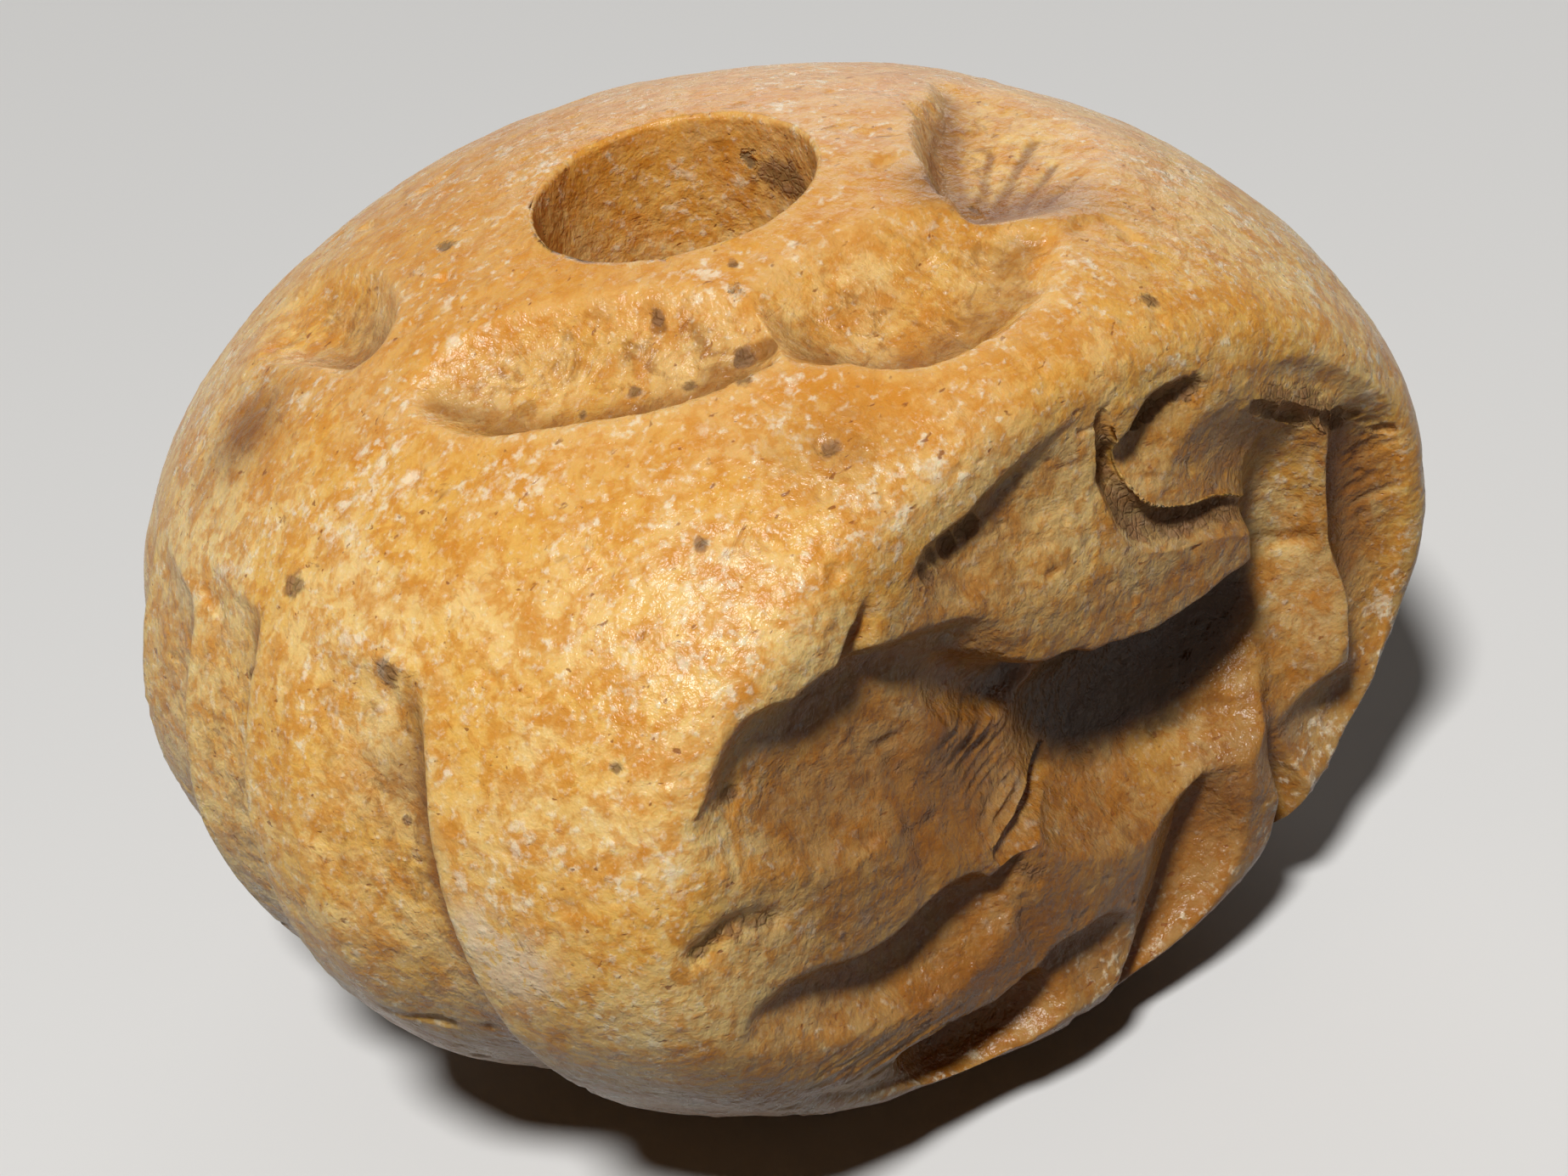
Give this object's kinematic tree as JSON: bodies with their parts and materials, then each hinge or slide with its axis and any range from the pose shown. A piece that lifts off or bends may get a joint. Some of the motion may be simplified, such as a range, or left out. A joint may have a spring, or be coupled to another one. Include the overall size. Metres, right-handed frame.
{
  "type": "intaglio seal bead",
  "caption": "Ellipsoid stone stamp seal with a lengthwise bore, petals and flutes cut round it, and a flat oval face engraved in intaglio.",
  "frame": {"origin": "middle of the bounding box, on the flat worn end of the bore that the bead stands on", "axes": "+Z along the bore, up; -Y out of the engraved face; +X to the right of a person who faces the engraving"},
  "size_m": [0.022, 0.0194, 0.0148],
  "materials": {
    "marble": "worn polish, waxy, brown in the cuts"
  },
  "bodies": {
    "root": {"seal_stone": "marble"}
  },
  "joints": []
}
